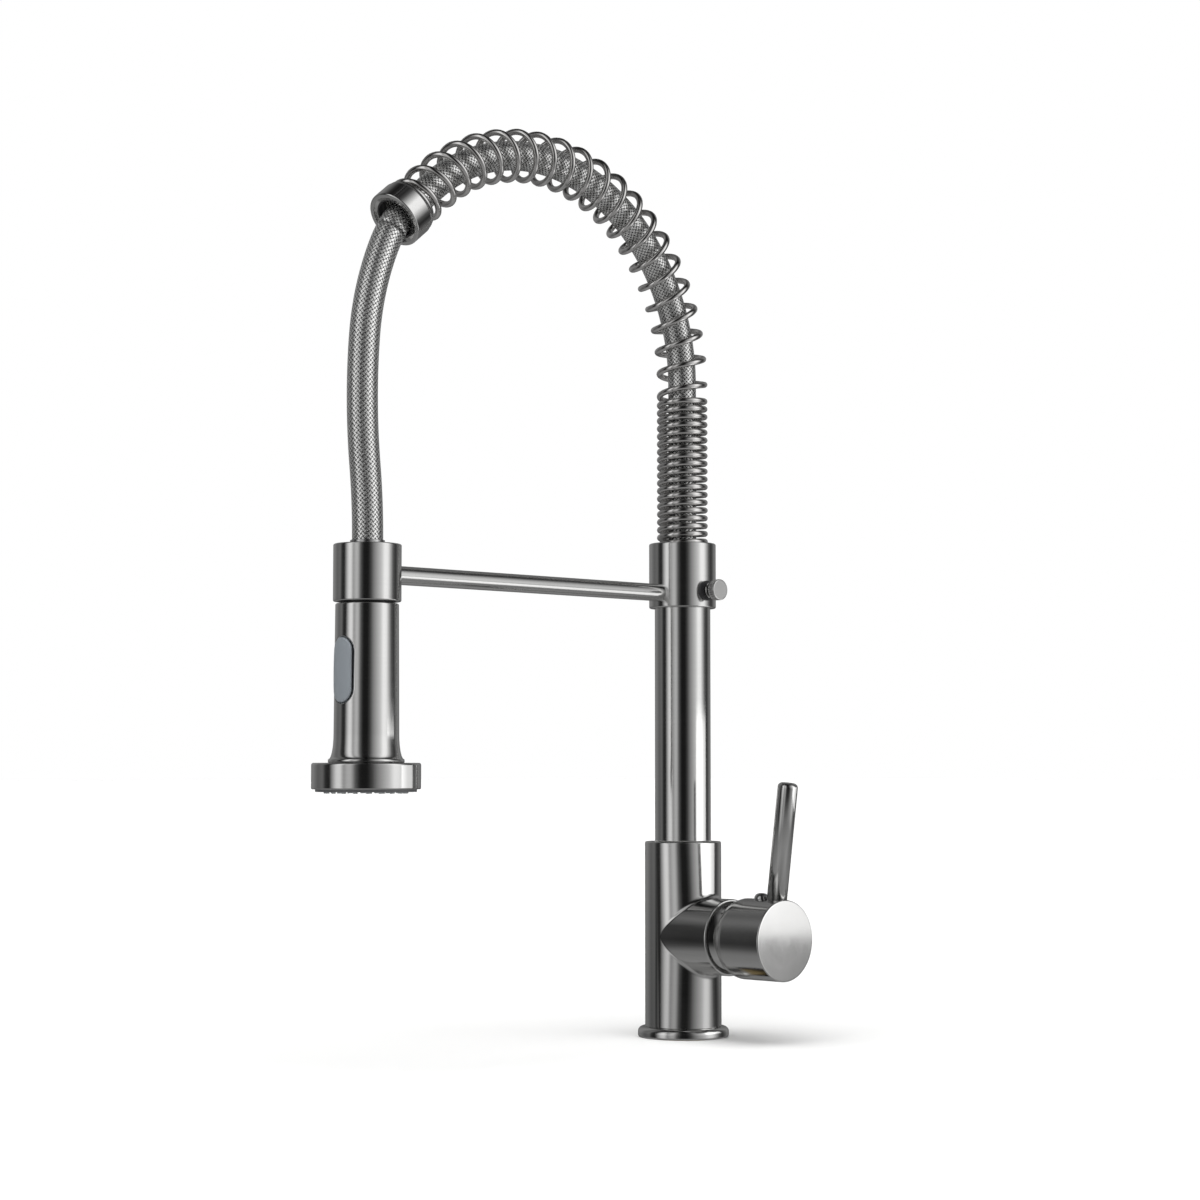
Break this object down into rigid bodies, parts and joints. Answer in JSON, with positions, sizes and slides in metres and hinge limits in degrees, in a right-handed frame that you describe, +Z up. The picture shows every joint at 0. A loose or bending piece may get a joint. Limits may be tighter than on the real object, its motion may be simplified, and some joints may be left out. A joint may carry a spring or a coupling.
{
  "type": "pull down kitchen faucet",
  "caption": "Single-lever kitchen faucet with a spring-guided hose, docking arm and pull-down spray head.",
  "frame": {"origin": "centre of the column on the deck's top face", "axes": "+Z up along the column, -Y towards the spray head, +X towards the lever"},
  "size_m": [0.1107, 0.2749, 0.5428],
  "materials": {
    "nickel": "brushed nickel plate",
    "spring_steel": "polished nickel-plated spring wire",
    "braided_hose": "woven steel braid over rubber",
    "steel": "turned stainless steel",
    "brass": "machined brass",
    "rubber": "moulded rubber",
    "ceramic": "lapped alumina ceramic",
    "white_plastic": "moulded acetal",
    "black_plastic": "moulded black nylon",
    "grey_button": "satin blue-grey plastic",
    "spray_face": "moulded dark plastic",
    "nozzle_rubber": "grey silicone",
    "aerator_plastic": "moulded grey plastic",
    "plug_black": "polished metal plug"
  },
  "bodies": {
    "base": {"faucet_body": "nickel", "base_flange": "nickel", "deck_gasket": "rubber", "mounting_shank": "brass", "rubber_washer": "rubber", "steel_washer": "steel", "lock_nut": "brass", "outlet_nipple": "brass", "nipple_o_ring": "rubber", "swivel_bush": "white_plastic", "retaining_screw": "steel", "port_seal": "rubber", "cartridge_base": "white_plastic", "fixed_ceramic_disc": "ceramic", "cartridge_shell": "white_plastic", "cartridge_nut": "brass", "cartridge_dome": "nickel"},
    "rotor": {"cartridge_rotor": "white_plastic", "pivot_pin": "steel"},
    "disc": {"moving_ceramic_disc": "ceramic"},
    "handle": {"cartridge_stem": "steel", "handle_hub": "nickel", "lever_rod": "nickel", "hub_set_screw": "steel", "indicator_plug": "plug_black"},
    "spout": {"riser_tube": "nickel", "top_collar": "nickel", "spring_seat": "white_plastic", "docking_arm": "nickel", "docking_sleeve": "nickel", "sleeve_liner": "black_plastic", "thumbscrew_bezel": "black_plastic", "support_spring": "spring_steel", "end_collar": "nickel", "end_bush": "black_plastic", "spray_hose": "braided_hose", "hose_fitting": "brass", "lower_ferrule": "steel"},
    "thumb": {"thumbscrew": "nickel"},
    "spray_head": {"head_shell": "nickel", "waterway_core": "black_plastic", "neck_o_ring": "rubber", "check_valve": "white_plastic", "upper_ferrule": "steel", "bell_ring": "nickel", "spray_plate": "spray_face", "spray_nozzles": "nozzle_rubber", "aerator": "aerator_plastic", "flow_spreader": "black_plastic", "rocker_pin": "steel"},
    "rocker": {"mode_button": "grey_button"},
    "spool": {"diverter_spool": "black_plastic"}
  },
  "joints": [
    {"name": "spout_swivel", "type": "hinge", "parent": "base", "child": "spout", "pos_m": [0, 0, 0.1], "axis": [0, 0, 1], "continuous": true},
    {"name": "handle_temperature", "type": "hinge", "parent": "base", "child": "rotor", "pos_m": [0.021, 0, 0.0555], "axis": [1, 0, 0], "range_deg": [-45, 45]},
    {"name": "handle_flow", "type": "hinge", "parent": "rotor", "child": "handle", "pos_m": [0.021, 0, 0.0555], "axis": [0, 1, 0], "range_deg": [0, 15]},
    {"name": "disc_slide", "type": "slide", "parent": "rotor", "child": "disc", "axis": [0, 0, 1], "range_m": [0, 0.0026]},
    {"name": "spray_head_pull", "type": "slide", "parent": "spout", "child": "spray_head", "axis": [0, 0, -1], "range_m": [0, 0.125], "deforming": ["spray_hose"]},
    {"name": "mode_rocker", "type": "hinge", "parent": "spray_head", "child": "rocker", "pos_m": [0, -0.2345, 0.1951], "axis": [1, 0, 0], "range_deg": [-4, 4]},
    {"name": "diverter_slide", "type": "slide", "parent": "spray_head", "child": "spool", "axis": [0, 0, 1], "range_m": [-0.00038, 0.00038]},
    {"name": "thumbscrew_turn", "type": "hinge", "parent": "spout", "child": "thumb", "pos_m": [0.022, 0, 0.2445], "axis": [1, 0, 0], "range_deg": [0, 360]}
  ],
  "couplings": [
    {"joint": "disc_slide", "follows": "handle_flow", "m_per_rad": 0.0096},
    {"joint": "mode_rocker", "follows": "diverter_slide", "rad_per_m": 181.82}
  ]
}
